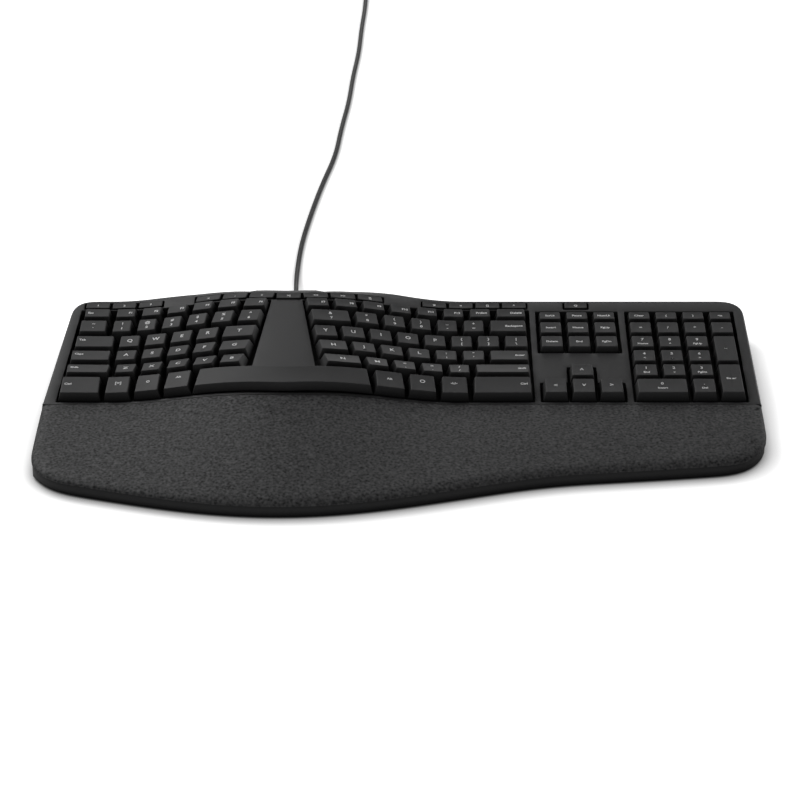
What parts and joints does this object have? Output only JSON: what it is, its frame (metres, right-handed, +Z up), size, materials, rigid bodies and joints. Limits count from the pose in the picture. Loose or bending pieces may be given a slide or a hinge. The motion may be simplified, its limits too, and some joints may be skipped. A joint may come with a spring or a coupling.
{
  "type": "ergonomic keyboard",
  "caption": "wired ergonomic keyboard with a domed, split and fanned key field, number pad, hot key strip and a cushioned wave-shaped palm rest",
  "frame": {"origin": "on the desk, under the middle of the case, cord left out", "axes": "+X to the right of the person who types, +Y away from them, +Z up"},
  "size_m": [0.4879, 1.0452, 0.0449],
  "materials": {
    "case_lower": "smooth dark plastic",
    "case_upper": "fine matte black plastic",
    "keys": "matte black key plastic",
    "palm_cover": "fine-grained soft cover",
    "guide": "black plastic",
    "rubber_parts": "dark rubber",
    "film": "clear printed film",
    "steel": "plain steel",
    "board": "green circuit board",
    "cord_jacket": "black cord jacket",
    "tie": "black tie",
    "plug_grip": "black moulded grip"
  },
  "bodies": {
    "base": {"back_plate": "steel", "bottom_case": "case_lower", "cable": "cord_jacket", "cable_coil": "cord_jacket", "cable_tie": "tie", "case_screws": "steel", "controller_board": "board", "key_guide": "guide", "membrane": "film", "palm_rest_pad": "palm_cover", "plug_grip": "plug_grip", "plug_shell": "steel", "rubber_feet": "rubber_parts", "rubber_sheet": "rubber_parts", "strain_relief": "cord_jacket", "top_case": "case_upper"},
    "key_alt_left": {"key_alt_left": "keys"},
    "key_alt_right": {"key_alt_right": "keys"},
    "key_backspace": {"key_backspace": "keys"},
    "key_caps_lock": {"key_caps_lock": "keys"},
    "key_control_left": {"key_control_left": "keys"},
    "key_control_right": {"key_control_right": "keys"},
    "key_down": {"key_down": "keys"},
    "key_enter": {"key_enter": "keys"},
    "key_escape": {"key_escape": "keys"},
    "key_left": {"key_left": "keys"},
    "key_pad_enter": {"key_pad_enter": "keys"},
    "key_pad_plus": {"key_pad_plus": "keys"},
    "key_pad_point": {"key_pad_point": "keys"},
    "key_pad_zero": {"key_pad_zero": "keys"},
    "key_right": {"key_right": "keys"},
    "key_shift_left": {"key_shift_left": "keys"},
    "key_shift_right": {"key_shift_right": "keys"},
    "key_space": {"key_space": "keys"},
    "key_tab": {"key_tab": "keys"},
    "key_up": {"key_up": "keys"},
    "keys_bottom_left": {"keys_bottom_left": "keys"},
    "keys_bottom_right": {"keys_bottom_right": "keys"},
    "keys_delete": {"keys_delete": "keys"},
    "keys_function_left": {"keys_function_left": "keys"},
    "keys_function_right": {"keys_function_right": "keys"},
    "keys_home_left": {"keys_home_left": "keys"},
    "keys_home_right": {"keys_home_right": "keys"},
    "keys_hot_left": {"keys_hot_left": "keys"},
    "keys_hot_middle": {"keys_hot_middle": "keys"},
    "keys_hot_right": {"keys_hot_right": "keys"},
    "keys_insert": {"keys_insert": "keys"},
    "keys_lock": {"keys_lock": "keys"},
    "keys_lower_left": {"keys_lower_left": "keys"},
    "keys_lower_right": {"keys_lower_right": "keys"},
    "keys_number_left": {"keys_number_left": "keys"},
    "keys_number_right": {"keys_number_right": "keys"},
    "keys_pad_123": {"keys_pad_123": "keys"},
    "keys_pad_456": {"keys_pad_456": "keys"},
    "keys_pad_789": {"keys_pad_789": "keys"},
    "keys_pad_clear": {"keys_pad_clear": "keys"},
    "keys_pad_signs": {"keys_pad_signs": "keys"},
    "keys_upper_left": {"keys_upper_left": "keys"},
    "keys_upper_right": {"keys_upper_right": "keys"}
  },
  "joints": [
    {"name": "key_alt_left_press", "type": "slide", "parent": "base", "child": "key_alt_left", "axis": [0, 0, -1], "range_m": [0, 0.003], "stiffness_N_per_m": 250, "springref_m": -0.002},
    {"name": "key_alt_right_press", "type": "slide", "parent": "base", "child": "key_alt_right", "axis": [0, 0, -1], "range_m": [0, 0.003], "stiffness_N_per_m": 250, "springref_m": -0.002},
    {"name": "key_backspace_press", "type": "slide", "parent": "base", "child": "key_backspace", "axis": [0, 0, -1], "range_m": [0, 0.003], "stiffness_N_per_m": 250, "springref_m": -0.002},
    {"name": "key_caps_lock_press", "type": "slide", "parent": "base", "child": "key_caps_lock", "axis": [0, 0, -1], "range_m": [0, 0.003], "stiffness_N_per_m": 250, "springref_m": -0.002},
    {"name": "key_control_left_press", "type": "slide", "parent": "base", "child": "key_control_left", "axis": [0, 0, -1], "range_m": [0, 0.003], "stiffness_N_per_m": 250, "springref_m": -0.002},
    {"name": "key_control_right_press", "type": "slide", "parent": "base", "child": "key_control_right", "axis": [0, 0, -1], "range_m": [0, 0.003], "stiffness_N_per_m": 250, "springref_m": -0.002},
    {"name": "key_down_press", "type": "slide", "parent": "base", "child": "key_down", "axis": [0, 0, -1], "range_m": [0, 0.003], "stiffness_N_per_m": 250, "springref_m": -0.002},
    {"name": "key_enter_press", "type": "slide", "parent": "base", "child": "key_enter", "axis": [0, 0, -1], "range_m": [0, 0.003], "stiffness_N_per_m": 250, "springref_m": -0.002},
    {"name": "key_escape_press", "type": "slide", "parent": "base", "child": "key_escape", "axis": [0, 0, -1], "range_m": [0, 0.003], "stiffness_N_per_m": 250, "springref_m": -0.002},
    {"name": "key_left_press", "type": "slide", "parent": "base", "child": "key_left", "axis": [0, 0, -1], "range_m": [0, 0.003], "stiffness_N_per_m": 250, "springref_m": -0.002},
    {"name": "key_pad_enter_press", "type": "slide", "parent": "base", "child": "key_pad_enter", "axis": [0, 0, -1], "range_m": [0, 0.003], "stiffness_N_per_m": 250, "springref_m": -0.002},
    {"name": "key_pad_plus_press", "type": "slide", "parent": "base", "child": "key_pad_plus", "axis": [0, 0, -1], "range_m": [0, 0.003], "stiffness_N_per_m": 250, "springref_m": -0.002},
    {"name": "key_pad_point_press", "type": "slide", "parent": "base", "child": "key_pad_point", "axis": [0, 0, -1], "range_m": [0, 0.003], "stiffness_N_per_m": 250, "springref_m": -0.002},
    {"name": "key_pad_zero_press", "type": "slide", "parent": "base", "child": "key_pad_zero", "axis": [0, 0, -1], "range_m": [0, 0.003], "stiffness_N_per_m": 250, "springref_m": -0.002},
    {"name": "key_right_press", "type": "slide", "parent": "base", "child": "key_right", "axis": [0, 0, -1], "range_m": [0, 0.003], "stiffness_N_per_m": 250, "springref_m": -0.002},
    {"name": "key_shift_left_press", "type": "slide", "parent": "base", "child": "key_shift_left", "axis": [0, 0, -1], "range_m": [0, 0.003], "stiffness_N_per_m": 250, "springref_m": -0.002},
    {"name": "key_shift_right_press", "type": "slide", "parent": "base", "child": "key_shift_right", "axis": [0, 0, -1], "range_m": [0, 0.003], "stiffness_N_per_m": 250, "springref_m": -0.002},
    {"name": "key_space_press", "type": "slide", "parent": "base", "child": "key_space", "axis": [0, 0, -1], "range_m": [0, 0.003], "stiffness_N_per_m": 250, "springref_m": -0.002},
    {"name": "key_tab_press", "type": "slide", "parent": "base", "child": "key_tab", "axis": [0, 0, -1], "range_m": [0, 0.003], "stiffness_N_per_m": 250, "springref_m": -0.002},
    {"name": "key_up_press", "type": "slide", "parent": "base", "child": "key_up", "axis": [0, 0, -1], "range_m": [0, 0.003], "stiffness_N_per_m": 250, "springref_m": -0.002},
    {"name": "keys_bottom_left_press", "type": "slide", "parent": "base", "child": "keys_bottom_left", "axis": [0, 0, -1], "range_m": [0, 0.003], "stiffness_N_per_m": 250, "springref_m": -0.002},
    {"name": "keys_bottom_right_press", "type": "slide", "parent": "base", "child": "keys_bottom_right", "axis": [0, 0, -1], "range_m": [0, 0.003], "stiffness_N_per_m": 250, "springref_m": -0.002},
    {"name": "keys_delete_press", "type": "slide", "parent": "base", "child": "keys_delete", "axis": [0, 0, -1], "range_m": [0, 0.003], "stiffness_N_per_m": 250, "springref_m": -0.002},
    {"name": "keys_function_left_press", "type": "slide", "parent": "base", "child": "keys_function_left", "axis": [0, 0, -1], "range_m": [0, 0.003], "stiffness_N_per_m": 250, "springref_m": -0.002},
    {"name": "keys_function_right_press", "type": "slide", "parent": "base", "child": "keys_function_right", "axis": [0, 0, -1], "range_m": [0, 0.003], "stiffness_N_per_m": 250, "springref_m": -0.002},
    {"name": "keys_home_left_press", "type": "slide", "parent": "base", "child": "keys_home_left", "axis": [0, 0, -1], "range_m": [0, 0.003], "stiffness_N_per_m": 250, "springref_m": -0.002},
    {"name": "keys_home_right_press", "type": "slide", "parent": "base", "child": "keys_home_right", "axis": [0, 0, -1], "range_m": [0, 0.003], "stiffness_N_per_m": 250, "springref_m": -0.002},
    {"name": "keys_hot_left_press", "type": "slide", "parent": "base", "child": "keys_hot_left", "axis": [0, 0, -1], "range_m": [0, 0.0008], "stiffness_N_per_m": 250, "springref_m": -0.002},
    {"name": "keys_hot_middle_press", "type": "slide", "parent": "base", "child": "keys_hot_middle", "axis": [0, 0, -1], "range_m": [0, 0.0008], "stiffness_N_per_m": 250, "springref_m": -0.002},
    {"name": "keys_hot_right_press", "type": "slide", "parent": "base", "child": "keys_hot_right", "axis": [0, 0, -1], "range_m": [0, 0.0008], "stiffness_N_per_m": 250, "springref_m": -0.002},
    {"name": "keys_insert_press", "type": "slide", "parent": "base", "child": "keys_insert", "axis": [0, 0, -1], "range_m": [0, 0.003], "stiffness_N_per_m": 250, "springref_m": -0.002},
    {"name": "keys_lock_press", "type": "slide", "parent": "base", "child": "keys_lock", "axis": [0, 0, -1], "range_m": [0, 0.003], "stiffness_N_per_m": 250, "springref_m": -0.002},
    {"name": "keys_lower_left_press", "type": "slide", "parent": "base", "child": "keys_lower_left", "axis": [0, 0, -1], "range_m": [0, 0.003], "stiffness_N_per_m": 250, "springref_m": -0.002},
    {"name": "keys_lower_right_press", "type": "slide", "parent": "base", "child": "keys_lower_right", "axis": [0, 0, -1], "range_m": [0, 0.003], "stiffness_N_per_m": 250, "springref_m": -0.002},
    {"name": "keys_number_left_press", "type": "slide", "parent": "base", "child": "keys_number_left", "axis": [0, 0, -1], "range_m": [0, 0.003], "stiffness_N_per_m": 250, "springref_m": -0.002},
    {"name": "keys_number_right_press", "type": "slide", "parent": "base", "child": "keys_number_right", "axis": [0, 0, -1], "range_m": [0, 0.003], "stiffness_N_per_m": 250, "springref_m": -0.002},
    {"name": "keys_pad_123_press", "type": "slide", "parent": "base", "child": "keys_pad_123", "axis": [0, 0, -1], "range_m": [0, 0.003], "stiffness_N_per_m": 250, "springref_m": -0.002},
    {"name": "keys_pad_456_press", "type": "slide", "parent": "base", "child": "keys_pad_456", "axis": [0, 0, -1], "range_m": [0, 0.003], "stiffness_N_per_m": 250, "springref_m": -0.002},
    {"name": "keys_pad_789_press", "type": "slide", "parent": "base", "child": "keys_pad_789", "axis": [0, 0, -1], "range_m": [0, 0.003], "stiffness_N_per_m": 250, "springref_m": -0.002},
    {"name": "keys_pad_clear_press", "type": "slide", "parent": "base", "child": "keys_pad_clear", "axis": [0, 0, -1], "range_m": [0, 0.003], "stiffness_N_per_m": 250, "springref_m": -0.002},
    {"name": "keys_pad_signs_press", "type": "slide", "parent": "base", "child": "keys_pad_signs", "axis": [0, 0, -1], "range_m": [0, 0.003], "stiffness_N_per_m": 250, "springref_m": -0.002},
    {"name": "keys_upper_left_press", "type": "slide", "parent": "base", "child": "keys_upper_left", "axis": [0, 0, -1], "range_m": [0, 0.003], "stiffness_N_per_m": 250, "springref_m": -0.002},
    {"name": "keys_upper_right_press", "type": "slide", "parent": "base", "child": "keys_upper_right", "axis": [0, 0, -1], "range_m": [0, 0.003], "stiffness_N_per_m": 250, "springref_m": -0.002}
  ]
}
